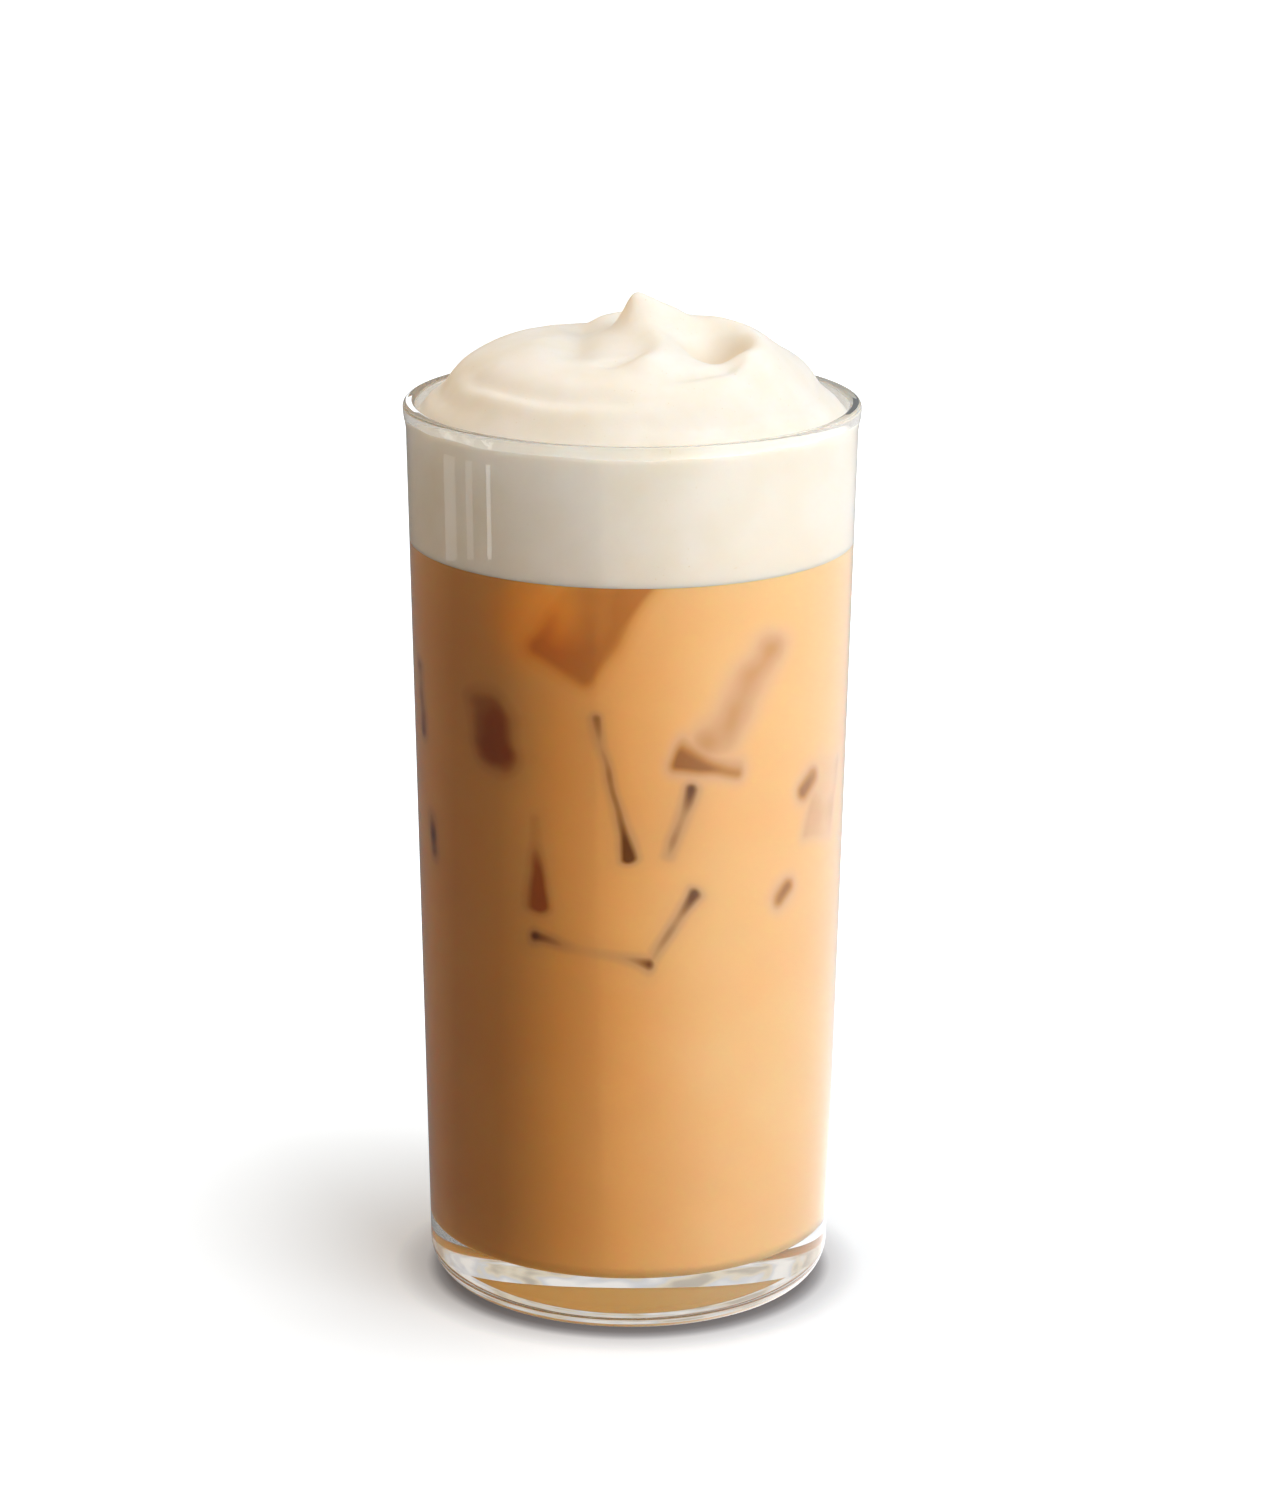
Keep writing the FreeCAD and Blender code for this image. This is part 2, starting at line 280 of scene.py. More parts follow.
clear_glass, tree, output = new_material("clear_glass")
place = millimetres(tree)
ripple = add(tree, "ShaderNodeBump", Strength=0.25, Distance=0.05 * MM, Height=noise(tree, place, 0.06, 1.0))
in_wall = mapped(tree, along(tree, place, "Z"), BASE_TOP, WALL_START)
glass_skin = add(
    tree, "ShaderNodeBsdfPrincipled", Base_Color=ramp(tree, in_wall, [(0.0, THICK_GLASS), (1.0, THIN_GLASS)]),
    Roughness=mapped(tree, noise(tree, place, 0.5, 3.0), 0.0, 1.0, (0.0, 0.03)),
    IOR=1.5, Transmission_Weight=1.0, Normal=ripple.outputs["Normal"])
light_left = ramp(tree, in_wall, [(0.0, (0.6, 0.6, 0.6)), (1.0, (0.93, 0.94, 0.93))])
let_through = add(tree, "ShaderNodeBsdfTransparent", Color=light_left)
path = add(tree, "ShaderNodeLightPath").outputs
tired = maths(tree, "GREATER_THAN", path["Ray Depth"], MOST_BOUNCES)
straight = maths(tree, "MAXIMUM", path["Is Shadow Ray"], tired)
glass = add(tree, "ShaderNodeMixShader", i0=straight, i1=glass_skin.outputs[0], i2=let_through.outputs[0])
tree.links.new(glass.outputs[0], output.inputs["Surface"])
tumbler.data.materials.append(clear_glass)

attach(tumbler, "root")
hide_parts("glass")


# ---- The ice
# Clear tray-made cubes, melted round at their edges. They float under the foam, pressed against the
# wall in places, and only what touches or nearly touches the wall shows through the milky chai.

ICE_GAP = 0.25 * MM
ICE_SMOOTH = 40
EDGE_ON = 0.2  # a side that faces the wall by less than this doesn't reach for it

# Each piece meets the wall with an edge, a corner or a face. First where: the azimuth in degrees to
# the right of the front, and the height. Then how: lean to the right, nod of its top to the wall,
# and turn about its own long axis, where 45 brings an edge to the wall. Then half its sizes from
# the wall inwards, across and along, its rounding, how far it is worn into the wall, and how far
# its middle is hollowed by melting. The four lists differ in the tint that the chai gives them:
# tea-brown, with the darkest painted shade for the shaded pieces and a painted highlight for the lit ones.
ICE_TEA = [
    ((-39.3, 106.8), (-10, 0, 0), (8, 8, 12), 7.8, -0.16, -0.25),
    ((-25.6, 84.4), (-3, -4.5, 55), (8, 8, 8.4), 0.9, -0.26, 0),
]
ICE_FACE = [
    ((-9.5, 129.3), (30, 0, -6), (10, 6, 12), 1.6, -0.38, 0),
]
# Pieces whose tint carries the darkest painted shade.
ICE_SHADED = [
    ((-4.6, 98.5), (-12.4, 0, 45), (10, 10, 12.8), 0.6, 0.0, 0.4),
    ((13.6, 92.6), (18, 3, 45), (8, 8, 6.6), 0.7, -0.22, 0),
    ((-10.7, 69.7), (101.2, 0, 45), (7, 7, 9.9), 0.6, -1.15, 0),
    ((11.7, 74.1), (32.3, 4, 45), (6, 6, 7.4), 0.6, -0.3, 0),
    ((-74.0, 107.2), (-8, 0, 45), (8, 8, 8), 2.5, -0.25, 0),
    ((-68.0, 84.0), (-8, 0, 45), (7, 7, 5), 2.0, -0.3, 0),
    ((88.5, 111.0), (0, 0, 45), (9, 9, 10), 1.2, 0.0, 0.2),
    ((140.0, 116.0), (20, 0, 40), (10, 10, 10), 1.6, 0.1, 0.3),
    ((178.0, 96.0), (-25, 3, 45), (10, 10, 11), 1.3, 0.0, 0.3),
    ((-140.0, 100.0), (12, -3, 45), (10, 10, 10), 1.6, 0.1, 0),
    ((-112.0, 118.0), (-35, 0, 45), (9, 9, 9), 2.0, 0.0, -0.5),
]
# Pieces on the lit right side, whose tint carries a painted cool highlight.
ICE_LIT = [
    ((30.9, 113.8), (26.7, 0, 45), (10, 10, 14.8), 7.0, -0.68, 0),
    ((21.0, 101.6), (104.0, -5, 64), (8, 8, 5.6), 0.4, 0.05, 0),
    ((55.6, 95.3), (49, 0, 45), (4, 4, 2.8), 1.2, 0.25, 0),
    ((64.8, 91.5), (14, 0, 0), (6, 4.6, 6.8), 0.6, -1.3, 0),
    ((46.5, 77.1), (49, 0, 45), (4, 4, 2.2), 0.9, -0.15, 0),
    ((112.0, 88.0), (15, 0, 30), (8, 8, 8), 1.5, 0.0, 0.2),
]


def ice_place(where, how, half, rounding, worn, hollow):
    """Centre and turn of a piece of ice that meets the wall as told, in millimetres."""
    azimuth, height = math.radians(where[0]), where[1]
    lean, nod, turn = (math.radians(angle) for angle in how)
    outward = Vector((math.sin(azimuth), -math.cos(azimuth), 0))
    across = Vector((math.cos(azimuth), math.sin(azimuth), 0))
    wall_frame = Matrix((outward, across, Vector((0, 0, 1)))).transposed()
    turned = (wall_frame @ Matrix.Rotation(-lean, 3, "X") @ Matrix.Rotation(nod, 3, "Y")
              @ Matrix.Rotation(turn, 3, "Z"))
    reach = Vector((0, 0, 0))
    for axis, size in enumerate(half):
        towards = turned.col[axis].dot(outward)
        if abs(towards) > EDGE_ON:
            reach += math.copysign(size - rounding, towards) * turned.col[axis]
    touch = outward * (inside(height * MM) / MM + worn - rounding) + Vector((0, 0, height))
    return touch - reach, turned.to_euler("XYZ")


ice_pieces = []
for where, how, half, rounding, worn, hollow in ICE_TEA + ICE_FACE + ICE_SHADED + ICE_LIT:
    centre, turn = ice_place(where, how, half, rounding, worn, hollow)
    bpy.ops.object.select_all(action="DESELECT")
    bpy.ops.mesh.primitive_cube_add(size=2 * MM, location=centre * MM, rotation=turn, scale=half)
    lump = placed("ice_lump")
    open_mesh(lump)
    bpy.ops.mesh.select_all(action="SELECT")
    bpy.ops.mesh.bevel(offset=rounding * MM, segments=4, profile=0.5, affect="EDGES")
    close_mesh()
    ice_pieces.append(lump)
bpy.ops.object.select_all(action="DESELECT")
for lump in ice_pieces:
    lump.select_set(True)
bpy.context.view_layer.objects.active = ice_pieces[0]
bpy.ops.object.join()
ice = placed("ice")

# What is worn flat on the wall, or stands up into the foam, is cut away.
bpy.ops.object.select_all(action="DESELECT")
bpy.ops.mesh.primitive_cone_add(
    vertices=ROUND // 2, radius1=inside(FLOOR_HEIGHT) - ICE_GAP, radius2=inside(LEVEL_HEIGHT) - ICE_GAP,
    depth=LEVEL_HEIGHT - FLOOR_HEIGHT - 2 * ICE_GAP, location=(0, 0, (LEVEL_HEIGHT + FLOOR_HEIGHT) / 2))
room = placed("ice_room")
finish_with(ice, "BOOLEAN", operation="INTERSECT", object=room, solver="EXACT", use_self=True)
bpy.data.objects.remove(room)
bpy.ops.object.shade_smooth_by_angle(angle=math.radians(ICE_SMOOTH))

ice_clear, tree, output = new_material("melting_ice")
haze = noise(tree, millimetres(tree), 0.15, 4.0)
dents = add(tree, "ShaderNodeBump", Strength=0.4, Distance=0.3 * MM, Height=haze)
ice_skin = add(
    tree, "ShaderNodeBsdfPrincipled", Base_Color=(0.93, 0.96, 0.97, 1),
    Roughness=mapped(tree, haze, 0.0, 1.0, (0.02, 0.25)),
    IOR=1.31, Transmission_Weight=1.0, Normal=dents.outputs["Normal"])
tree.links.new(ice_skin.outputs[0], output.inputs["Surface"])
ice.data.materials.clear()
ice.data.materials.append(ice_clear)

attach(ice, "root")


# ---- The chai
# Spiced black tea with milk, poured over the ice: an opaque tan, with painted shade on the left and
# painted light on the right. It wets the wall all round, and where ice nears the wall its film thins,
# first to frosty pink, then to tea-brown with painted shade, the look into the clear ice.

WET = 0.12 * MM
FILM_SEEN = 3.0  # the thickest film, in mm, through which ice can be seen
WOBBLE = 1.2
# Where a patch of painted light lifts the painted shade on the front left.
LIT_PATCH_PLACE = (-16.0, -32.5, 126.5)
LIT_PATCH_CORE, LIT_PATCH_REACH = 3.0, 12.0

bpy.ops.object.select_all(action="DESELECT")
bpy.ops.mesh.primitive_cone_add(
    vertices=ROUND, radius1=inside(FLOOR_HEIGHT) + WET, radius2=inside(LEVEL_HEIGHT) + WET,
    depth=LEVEL_HEIGHT - FLOOR_HEIGHT + 2 * WET, location=(0, 0, (LEVEL_HEIGHT + FLOOR_HEIGHT) / 2))
chai = placed("chai_drink")
open_mesh(chai)
pick_ring((FLOOR_HEIGHT - WET, inside(FLOOR_HEIGHT) + WET))
bpy.ops.mesh.bevel(offset=FLOOR_ROUND, segments=7, profile=0.5, affect="EDGES")
pick_faces(lambda middle, normal: middle.xy.length < AXIS_NEAR)
bpy.ops.mesh.inset(thickness=FOOT_WIDTH, use_individual=True)
bpy.ops.mesh.poke()
close_mesh()
bpy.ops.object.shade_smooth()
finish_with(chai, "WEIGHTED_NORMAL", keep_sharp=True)


def make_ice_film():
    """Node group: how thick the chai is between a place on the wall and one piece of ice."""
    group = bpy.data.node_groups.new("ice_film", "ShaderNodeTree")
    for name in ("Place", "Centre", "Turn", "Half"):
        group.interface.new_socket(name, in_out="INPUT", socket_type="NodeSocketVector")
    for name in ("Rounding", "Hollow"):
        group.interface.new_socket(name, in_out="INPUT", socket_type="NodeSocketFloat")
    group.interface.new_socket("Film", in_out="OUTPUT", socket_type="NodeSocketFloat")
    given = group.nodes.new("NodeGroupInput").outputs
    result = group.nodes.new("NodeGroupOutput").inputs
    offset = vector_maths(group, "SUBTRACT", given["Place"], given["Centre"])
    turned = add(group, "ShaderNodeVectorRotate", {"rotation_type": "EULER_XYZ", "invert": True},
                 Vector=offset, Rotation=given["Turn"])
    mirrored = vector_maths(group, "ABSOLUTE", turned.outputs[0])
    core = vector_maths(group, "SUBTRACT", given["Half"], given["Rounding"])
    beyond = vector_maths(group, "SUBTRACT", mirrored, core)
    outside_core = vector_maths(group, "MAXIMUM", beyond, (0, 0, 0))
    length = vector_maths(group, "LENGTH", outside_core, result="Value")
    solid = maths(group, "SUBTRACT", length, given["Rounding"])

    # Melting hollows the middle of the long edges by a smooth dip.
    share = along(group, vector_maths(group, "DIVIDE", mirrored, given["Half"]), "Z")
    dip = maths(group, "SUBTRACT", 1.0, maths(group, "MULTIPLY", share, share), clamp=True)
    film = maths(group, "MULTIPLY_ADD", dip, given["Hollow"], solid)
    group.links.new(film, result["Film"])
    return group


ice_film = make_ice_film()


def thinnest_film(tree, place, pieces):
    """The thinnest film of chai over any of the pieces of ice."""
    thinnest = None
    for where, how, half, rounding, worn, hollow in pieces:
        centre, turn = ice_place(where, how, half, rounding, worn, hollow)
        film = add(tree, "ShaderNodeGroup", {"node_tree": ice_film}, Place=place, Centre=centre,
                   Turn=tuple(turn), Half=half, Rounding=rounding, Hollow=hollow).outputs["Film"]
        thinnest = film if thinnest is None else maths(tree, "MINIMUM", thinnest, film)
    return thinnest


def mixed_colour(tree, share, first, second, blend="MIX"):
    """Two colours mixed by a share, each of them numbers or a socket."""
    node = add(tree, "ShaderNodeMix", {"data_type": "RGBA", "blend_type": blend}, i0=share)
    for key, colour in ((6, first), (7, second)):
        if isinstance(colour, bpy.types.NodeSocket):
            tree.links.new(colour, node.inputs[key])
        else:
            node.inputs[key].default_value = (*colour, 1)
    return node.outputs[2]


def tinted(tree, colour, tint):
    """A colour times a tint."""
    return mixed_colour(tree, 1.0, colour, tint, "MULTIPLY")


CHAI_TAN = (0.93, 0.55, 0.205)
CHAI_DEEPER = (0.90, 0.51, 0.18)
PLAIN = (1.0, 1.0, 1.0)
# The tint of that painted light patch, brighter and more orange.
LIT_PATCH_TINT = (1.22, 1.04, 0.64)
# The tint at each share of the film that can be seen through, from bare ice to plain chai. At bare ice
# it is tea-brown with painted shade, the look into the clear ice; stops above one are a painted cool
# highlight.
ICE_TINTS = [
    (ICE_TEA, [(0.0, (0.46, 0.22, 0.03)), (0.04, (0.48, 0.25, 0.05)), (0.13, (0.60, 0.44, 0.28)),
               (0.26, (0.82, 0.78, 0.80)), (0.5, (0.96, 0.97, 1.0)), (1.0, PLAIN)]),
    (ICE_FACE, [(0.0, (0.66, 0.47, 0.30)), (0.14, (0.76, 0.60, 0.42)), (0.28, (0.87, 0.77, 0.60)),
                (0.55, (0.96, 0.92, 0.85)), (1.0, PLAIN)]),
    (ICE_SHADED, [(0.0, (0.20, 0.12, 0.04)), (0.04, (0.23, 0.15, 0.07)), (0.12, (0.45, 0.37, 0.33)),
                (0.24, (0.78, 0.80, 0.97)), (0.5, (0.96, 0.98, 1.0)), (1.0, PLAIN)]),
    (ICE_LIT, [(0.0, (0.44, 0.28, 0.09)), (0.05, (0.53, 0.37, 0.16)), (0.14, (0.67, 0.52, 0.31)),
               (0.25, (0.77, 0.72, 0.80)), (0.45, (0.90, 0.95, 1.22)), (0.7, (0.97, 1.0, 1.12)),
               (1.0, PLAIN)]),
]
# The tint from the drink's left to its right: painted shade on the left, lifted a little at the far
# left edge, and painted light, bright and cool, on the right.
SIDE_LIGHT_TINTS = [
    (0.0, (0.86, 0.76, 0.56)), (0.10, (0.64, 0.52, 0.35)), (0.20, (0.65, 0.53, 0.36)),
    (0.34, (0.88, 0.75, 0.53)), (0.5, (1.0, 1.0, 0.98)), (0.7, (1.02, 1.13, 1.32)),
    (1.0, (1.02, 1.14, 1.40)),
]

milk_chai, tree, output = new_material("milk_chai")
place = millimetres(tree)
wobble = vector_maths(tree, "SUBTRACT", noise(tree, place, 0.16, 0.5, "Color"), (0.5, 0.5, 0.5))
uneven_place = vector_maths(tree, "ADD", place, scaled(tree, wobble, WOBBLE))
tan = mixed_colour(tree, mapped(tree, noise(tree, place, 0.035, 3.0), 0.35, 0.65), CHAI_TAN, CHAI_DEEPER)
# Each film of chai over ice is tinted towards tea-brown with painted shade, and painted highlight on the lit
# pieces.
for pieces, stops in ICE_TINTS:
    film = thinnest_film(tree, uneven_place, pieces)
    tan = tinted(tree, tan, ramp(tree, mapped(tree, film, 0, FILM_SEEN), stops))
# Painted shade on the drink's left and painted light on its right.
to_right = mapped(tree, along(tree, place, "X"), -LEVEL_RADIUS / MM, LEVEL_RADIUS / MM)
tan = tinted(tree, tan, ramp(tree, to_right, SIDE_LIGHT_TINTS))
# A patch on the front left is painted brighter and more orange: painted light over the painted shade of that
# side.
from_lit_patch = vector_maths(tree, "DISTANCE", uneven_place, LIT_PATCH_PLACE, result="Value")
lit_patch_share = mapped(tree, from_lit_patch, LIT_PATCH_REACH, LIT_PATCH_CORE, smooth=True)
tan = mixed_colour(tree, lit_patch_share, tan, tinted(tree, tan, LIT_PATCH_TINT))
chai_rough = mapped(tree, noise(tree, place, 2.0), 0.0, 1.0, (0.35, 0.5))
chai_skin = add(
    tree, "ShaderNodeBsdfPrincipled", Base_Color=tan, Roughness=chai_rough,
    Specular_IOR_Level=0.0, Subsurface_Weight=1.0, Subsurface_Radius=(1.0, 0.5, 0.25),
    Subsurface_Scale=0.7 * MM)
tree.links.new(chai_skin.outputs[0], output.inputs["Surface"])
chai.data.materials.append(milk_chai)

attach(chai, "root")
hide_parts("chai")


# ---- The cold foam
# Cold-frothed cream, spooned on in a swirl: thick, smooth and finely bubbled. It fills the top of
# the glass against the wall, swells into a skirt inside the rim, and ends in a small peak.

FOAM_RINGS = 84
FOAM_EDGE_HEIGHT = RIM_HEIGHT - 2.3 * MM
FOAM_WET = 0.15 * MM
SIDE_CUTS = 12
FOAM_SINK = 2.0 * MM
FOAM_SMOOTH = 50
EDGE_DROP = 0.1 * MM
SEAM = 0.05 * MM
HOLLOW_PLACE = (15.0, -8.0, 165.0)
HOLLOW_CORE, HOLLOW_REACH = 2.0, 8.5
foam_reach = inside(FOAM_EDGE_HEIGHT) - SEAM

bpy.ops.object.select_all(action="DESELECT")
bpy.ops.mesh.primitive_circle_add(
    vertices=ROUND, radius=foam_reach, fill_type="NGON", location=(0, 0, 2 * RIM_HEIGHT))
foam = placed("cold_foam")
open_mesh(foam)
bpy.ops.mesh.select_all(action="SELECT")
bpy.ops.mesh.select_mode(type="FACE")
for ring in range(FOAM_RINGS):
    bpy.ops.mesh.inset(thickness=foam_reach / (FOAM_RINGS + 1))
bpy.ops.mesh.poke()
close_mesh()
bpy.ops.object.shade_smooth()
finish_with(foam, "SHRINKWRAP", target=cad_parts["foam"], wrap_method="PROJECT",
            use_project_z=True, use_negative_direction=True, use_positive_direction=False)
finish_with(foam, "SMOOTH", factor=0.5, iterations=3)

lumps = bpy.data.textures.new("foam_lumps", "CLOUDS")
lumps.noise_scale = 9 * MM
lumps.noise_depth = 1
finish_with(foam, "DISPLACE", texture=lumps, texture_coords="GLOBAL", direction="Z",
            strength=0.5 * MM, mid_level=0.5)

# The side goes down the wall to the drink.
open_mesh(foam)
bpy.ops.mesh.select_all(action="SELECT")
bpy.ops.mesh.region_to_loop()
bpy.ops.mesh.extrude_region_move(TRANSFORM_OT_translate={"value": (0, 0, -EDGE_DROP)})
scale_across((inside(FOAM_EDGE_HEIGHT) + FOAM_WET) / foam_reach)
side_step = (FOAM_EDGE_HEIGHT - LEVEL_HEIGHT) / SIDE_CUTS
for cut in range(1, SIDE_CUTS + 1):
    above, here = FOAM_EDGE_HEIGHT - (cut - 1) * side_step, FOAM_EDGE_HEIGHT - cut * side_step
    bpy.ops.mesh.extrude_region_move(TRANSFORM_OT_translate={"value": (0, 0, -side_step)})
    scale_across((inside(here) + FOAM_WET) / (inside(above) + FOAM_WET))
bpy.ops.transform.resize(value=(1, 1, 0), center_override=(0, 0, LEVEL_HEIGHT))
bpy.ops.mesh.extrude_region_move(TRANSFORM_OT_translate={"value": (0, 0, -SEAM)})
scale_across((inside(LEVEL_HEIGHT) - FOAM_WET) / (inside(LEVEL_HEIGHT) + FOAM_WET))
bpy.ops.mesh.extrude_region_move(TRANSFORM_OT_translate={"value": (0, 0, -FOAM_SINK)})
bpy.ops.mesh.edge_face_add()
bpy.ops.mesh.select_mode(type="FACE")
bpy.ops.mesh.poke()
bpy.ops.mesh.select_all(action="SELECT")
bpy.ops.mesh.normals_make_consistent(inside=False)
close_mesh()
bpy.ops.object.shade_smooth_by_angle(angle=math.radians(FOAM_SMOOTH))

FOAM_CREAM = (0.91, 0.86, 0.79)
FOAM_DEEPER = (0.87, 0.81, 0.70)
HOLLOW_SHADE_AND_TEA_TINT = (0.87, 0.73, 0.55)
PORE_TINT = (0.80, 0.70, 0.55)

cold_foam, tree, output = new_material("cold_foam")
place = millimetres(tree)
cream = mixed_colour(tree, mapped(tree, noise(tree, place, 0.09, 3.0), 0.35, 0.7), FOAM_CREAM, FOAM_DEEPER)
# The hollow in the top is painted amber: painted warm shade in the dip, with a little tea showing through the
# foam.
from_hollow = vector_maths(tree, "DISTANCE", place, HOLLOW_PLACE, result="Value")
cream = mixed_colour(tree, mapped(tree, from_hollow, HOLLOW_REACH, HOLLOW_CORE), cream, HOLLOW_SHADE_AND_TEA_TINT)

# A few open bubbles, and a fine froth all over.
bubbles = add(tree, "ShaderNodeTexVoronoi", Vector=place, Scale=1.3)
pore_size = mapped(tree, noise(tree, place, 0.6), 0.45, 0.8, (0.0, 0.22))
pore = maths(tree, "LESS_THAN", bubbles.outputs["Distance"], pore_size)
cream = mixed_colour(tree, pore, cream, PORE_TINT)
froth = noise(tree, place, 2.5, 3.0)
froth_bump = add(tree, "ShaderNodeBump", Strength=0.35, Distance=0.05 * MM, Height=froth)
pore_bump = add(tree, "ShaderNodeBump", {"invert": True}, Strength=0.4, Distance=0.06 * MM, Height=pore,
                Normal=froth_bump.outputs["Normal"])
foam_skin = add(
    tree, "ShaderNodeBsdfPrincipled", Base_Color=cream, Roughness=mapped(tree, froth, 0.0, 1.0, (0.45, 0.65)),
    Specular_IOR_Level=0.1, Subsurface_Weight=1.0, Subsurface_Radius=(1.0, 0.85, 0.7),
    Subsurface_Scale=2.5 * MM, Normal=pore_bump.outputs["Normal"])
tree.links.new(foam_skin.outputs[0], output.inputs["Surface"])
foam.data.materials.append(cold_foam)

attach(foam, "root")
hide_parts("foam")


# ---- The table
# A plain white top that the glass stands on. It isn't part of the drink.

TABLE_HALF = 8.0
# Reach of the painted contact shadow, the foot's edge where it is darkest, and the span over which the glow,
# painted lower near the glass, comes up to full.
CONTACT = 7 * MM
FOOT_EDGE_START, FOOT_EDGE_END = 32.5 * MM, 36 * MM
GLOW_START, GLOW_END = 38 * MM, 160 * MM

bpy.ops.object.select_all(action="DESELECT")
bpy.ops.mesh.primitive_plane_add(size=2 * TABLE_HALF, location=(0, 0, TABLE_HEIGHT))
table = placed("table_top")
table_white, tree, output = new_material("table_white")
path = add(tree, "ShaderNodeLightPath").outputs
place = add(tree, "ShaderNodeTexCoord").outputs["Object"]
far = vector_maths(tree, "LENGTH", place, result="Value")
bounced = maths(tree, "GREATER_THAN", path["Diffuse Depth"], 0.5)
not_bounced = maths(tree, "SUBTRACT", 1.0, bounced)
heading = vector_maths(tree, "NORMALIZE", vector_maths(tree, "MULTIPLY", place, (1, 1, 0)))
to_right = along(tree, heading, "X")

# Seen directly it is white, with a painted contact shadow close round the foot, and its glow is
# painted lower near the glass, most on the left, as painted shadow.
off_foot = mapped(tree, far, BASE_RADIUS - BASE_ROUND, BASE_RADIUS + CONTACT)
seen = add(tree, "ShaderNodeBsdfDiffuse", Color=ramp(tree, off_foot, [
    (0.0, (0.05, 0.05, 0.06)), (0.4, (0.16, 0.16, 0.18)), (0.55, (0.40, 0.42, 0.45)),
    (1.0, (0.70, 0.75, 0.80))]))
near_glow = mapped(tree, to_right, -0.9, -0.2, (0.26, 0.37))
glow_share = mapped(tree, far, GLOW_START, GLOW_END, (near_glow, 1.0))
edge_of_foot = mapped(tree, far, FOOT_EDGE_START, FOOT_EDGE_END, (0.3, 1.0))
glow_level = maths(tree, "MULTIPLY", maths(tree, "MULTIPLY", glow_share, edge_of_foot), not_bounced)
glow = add(tree, "ShaderNodeEmission", Color=(0.97, 0.985, 1, 1), Strength=glow_level)

# What it sends back up at the drink is dim round the glass, and under its clear base a painted glow,
# standing in for light caught in the base.
dim = add(tree, "ShaderNodeBsdfDiffuse", Color=(0.22, 0.20, 0.18, 1))
caught = add(tree, "ShaderNodeEmission", Color=(1, 0.90, 0.80, 1), Strength=1.0)
bounce = add(tree, "ShaderNodeMixShader", i0=maths(tree, "LESS_THAN", far, BASE_RADIUS), i1=dim.outputs[0],
             i2=caught.outputs[0])
top = add(tree, "ShaderNodeMixShader", i0=bounced, i1=seen.outputs[0], i2=bounce.outputs[0])
lit_top = add(tree, "ShaderNodeAddShader", i0=top.outputs[0], i1=glow.outputs[0])

# Through the thick base it shows as soft glowing bands of cream and grey, a painted reflection of the
# surroundings.
through = add(tree, "ShaderNodeEmission", Color=ramp(tree, noise(tree, place, 45.0), [
    (0.36, (0.50, 0.46, 0.40)), (0.47, (0.66, 0.58, 0.46)), (0.55, (0.60, 0.60, 0.63)),
    (0.68, (0.90, 0.87, 0.82))]))
through_ray = maths(tree, "MULTIPLY", path["Is Transmission Ray"], not_bounced)
seen_top = add(tree, "ShaderNodeMixShader", i0=through_ray, i1=lit_top.outputs[0], i2=through.outputs[0])

# What the wall mirrors of it is a painted glow, dim on the left and bright on the right.
mirrored = add(tree, "ShaderNodeEmission", Color=(0.97, 0.98, 1, 1),
               Strength=mapped(tree, to_right, -0.1, 1.0, (0.22, 1.9), smooth=True))
mirror_ray = maths(tree, "SUBTRACT", path["Is Glossy Ray"], path["Is Transmission Ray"], clamp=True)
mirror_ray = maths(tree, "MULTIPLY", mirror_ray, not_bounced)
whole_top = add(tree, "ShaderNodeMixShader", i0=mirror_ray, i1=seen_top.outputs[0], i2=mirrored.outputs[0])
tree.links.new(whole_top.outputs[0], output.inputs["Surface"])
table.data.materials.append(table_white)


# ---- The studio
# A big soft key on the right, a softer light overhead, three slim panels on the left that the glass
# mirrors as upright streaks, and a white surround that sends a warm fill from the left.

def area_light(name, place, aim, size, watts, colour=(1, 1, 1), size_up=None):
    """A soft rectangular light at a place, turned to what it is aimed at."""
    data = bpy.data.lights.new(name, "AREA")
    data.shape = "RECTANGLE"
    data.size = size
    data.size_y = size_up or size
    data.energy = watts
    data.color = colour
    light = bpy.data.objects.new(name, data)
    bpy.context.scene.collection.objects.link(light)
    turn = (Vector(aim) - Vector(place)).to_track_quat("-Z", "Y")
    light.matrix_world = Matrix.Translation(place) @ turn.to_matrix().to_4x4()
    return light


def around(azimuth, elevation, distance, height):
    """A place seen from a height on the axis, at an azimuth to the right of the front."""
    across, up = math.radians(azimuth), math.radians(elevation)
    return (math.sin(across) * math.cos(up) * distance, -math.cos(across) * math.cos(up) * distance,
            height + math.sin(up) * distance)


MIDDLE = (0, 0, RIM_HEIGHT / 2)
PANEL_HEIGHT = 0.16
PANEL_BACK = 0.48
PANEL_TALL = 0.3

key = area_light("key_light", around(46, 30, 0.9, RIM_HEIGHT / 2), MIDDLE, 0.65, 5.8, (1, 0.98, 0.97))
top = area_light("top_light", (0.10, 0.05, 1.0), MIDDLE, 0.8, 4.4, (0.92, 0.97, 1))
for light in (key, top):
    light.visible_glossy = False
for azimuth, width, watts in ((-103, 0.08, 0.07), (-88, 0.04, 0.04), (-75, 0.022, 0.06)):
    panel = area_light(f"window_panel_{-azimuth}", around(azimuth, 0, PANEL_BACK, PANEL_HEIGHT),
                       (0, 0, PANEL_HEIGHT), width, watts, size_up=PANEL_TALL)
    panel.visible_diffuse = False

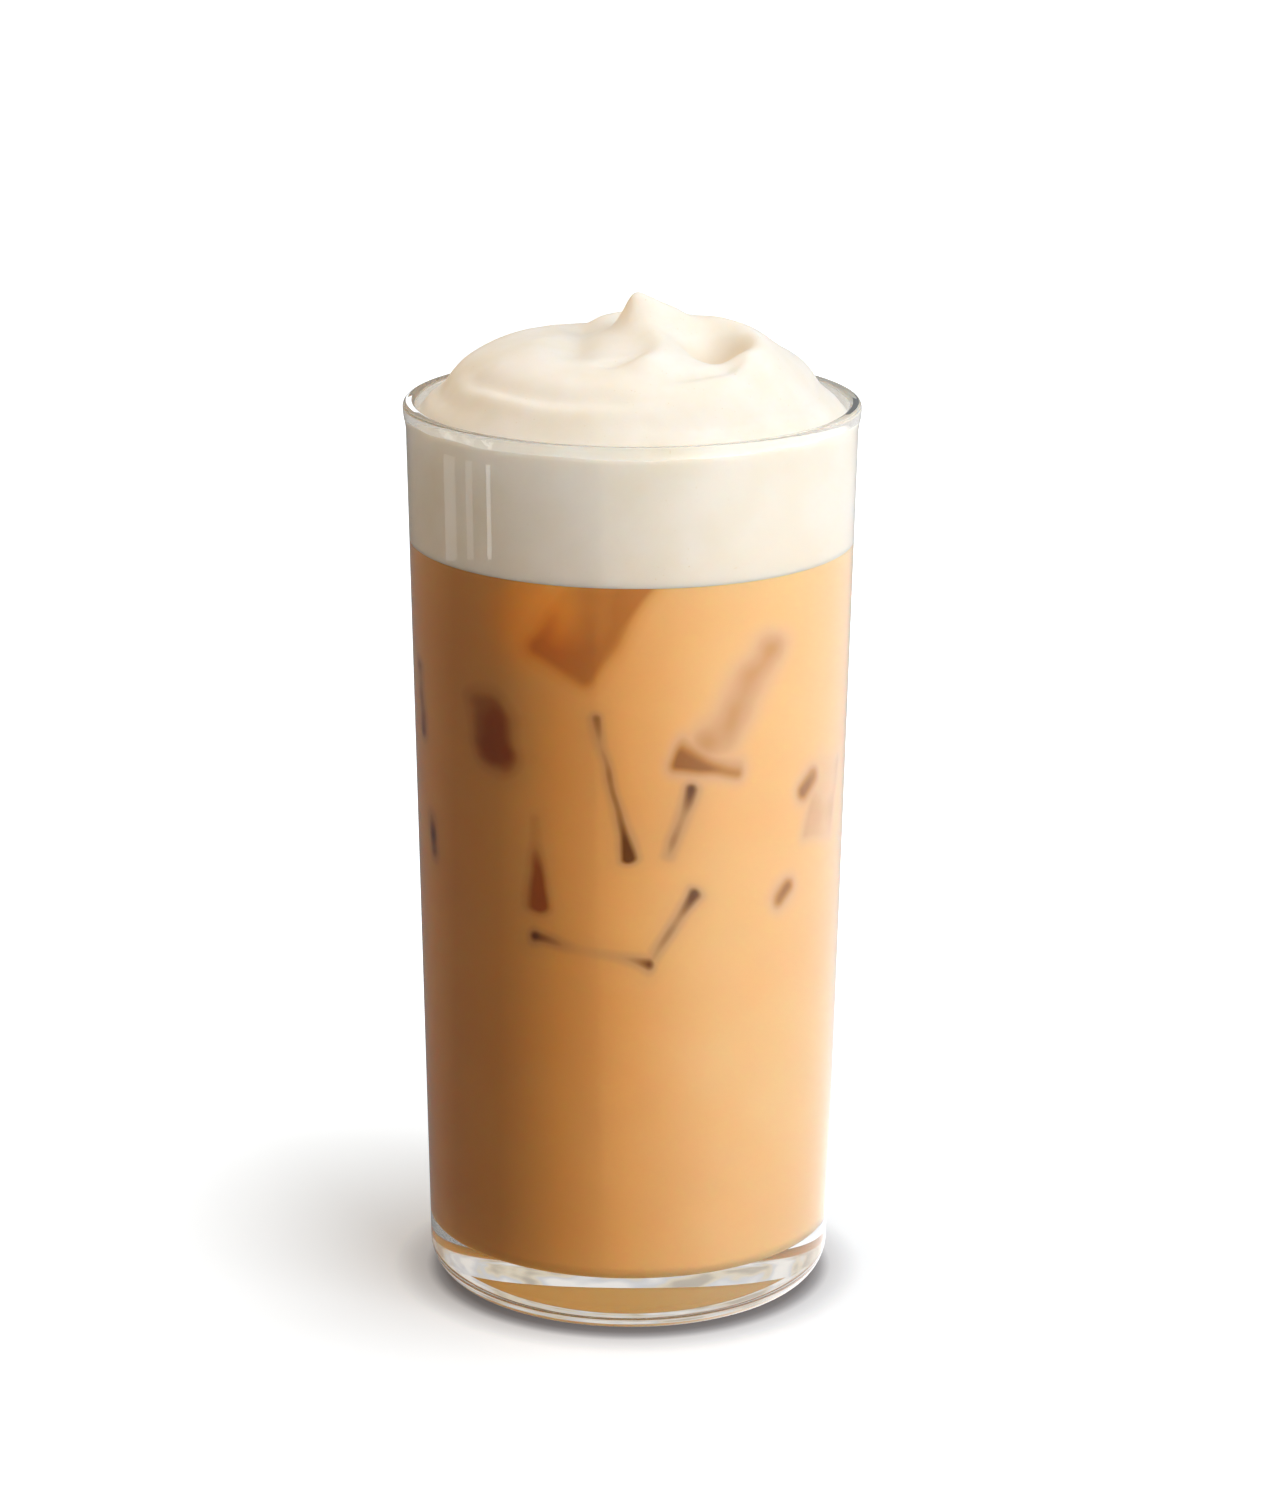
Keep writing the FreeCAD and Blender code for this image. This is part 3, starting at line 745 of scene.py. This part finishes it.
world = bpy.data.worlds.new("white_surround")
bpy.context.scene.world = world
world.use_nodes = True
tree = world.node_tree
tree.nodes.clear()
output = tree.nodes.new("ShaderNodeOutputWorld")
path = add(tree, "ShaderNodeLightPath").outputs
direction = add(tree, "ShaderNodeTexCoord").outputs["Generated"]
white = add(tree, "ShaderNodeBackground", Color=(1, 1, 1, 1), Strength=1.0)
mirrored = add(tree, "ShaderNodeBackground", Color=(0.97, 0.98, 1, 1),
               Strength=mapped(tree, along(tree, direction, "X"), 0.2, 1.0, (0.18, 2.6), smooth=True))
from_left = vector_maths(tree, "DOT_PRODUCT", direction, (-0.985, 0.17, 0), result="Value")
fill = add(tree, "ShaderNodeBackground", Color=(1, 0.73, 0.44, 1),
           Strength=mapped(tree, from_left, 0.35, 1.0, (0.03, 1.65), smooth=True))
through = add(tree, "ShaderNodeBackground", Strength=0.95, Color=ramp(tree, noise(tree, direction, 5.0), [
    (0.38, (0.52, 0.47, 0.40)), (0.46, (0.78, 0.70, 0.56)), (0.52, (0.66, 0.67, 0.70)),
    (0.62, (0.90, 0.88, 0.85))]))
bounced = maths(tree, "GREATER_THAN", path["Diffuse Depth"], 0.5)
indirect = add(tree, "ShaderNodeMixShader", i0=path["Is Transmission Ray"], i1=mirrored.outputs[0],
               i2=through.outputs[0])
direct = add(tree, "ShaderNodeMixShader", i0=path["Is Camera Ray"], i1=indirect.outputs[0],
             i2=white.outputs[0])
surround = add(tree, "ShaderNodeMixShader", i0=bounced, i1=direct.outputs[0], i2=fill.outputs[0])
tree.links.new(surround.outputs[0], output.inputs["Surface"])
bpy.context.scene.view_settings.view_transform = "Standard"


# ---- The camera
# A long lens, a little above the rim and looking down on the drink.

CAMERA_BACK = 0.806
CAMERA_HEIGHT = 0.3248
CAMERA_PITCH = 15.862
CAMERA_ROLL = 0.271
CAMERA_ASIDE = 0.4 * MM
LENS = 116.6

lens = bpy.data.cameras.new("camera")
lens.sensor_width = 36
lens.lens = LENS
camera = bpy.data.objects.new("camera", lens)
bpy.context.scene.collection.objects.link(camera)
camera.matrix_world = (
    Matrix.Translation((CAMERA_ASIDE, -CAMERA_BACK, CAMERA_HEIGHT))
    @ Matrix.Rotation(math.radians(90 - CAMERA_PITCH), 4, "X")
    @ Matrix.Rotation(math.radians(CAMERA_ROLL), 4, "Z"))
bpy.context.scene.camera = camera


bpy.context.view_layer.update()
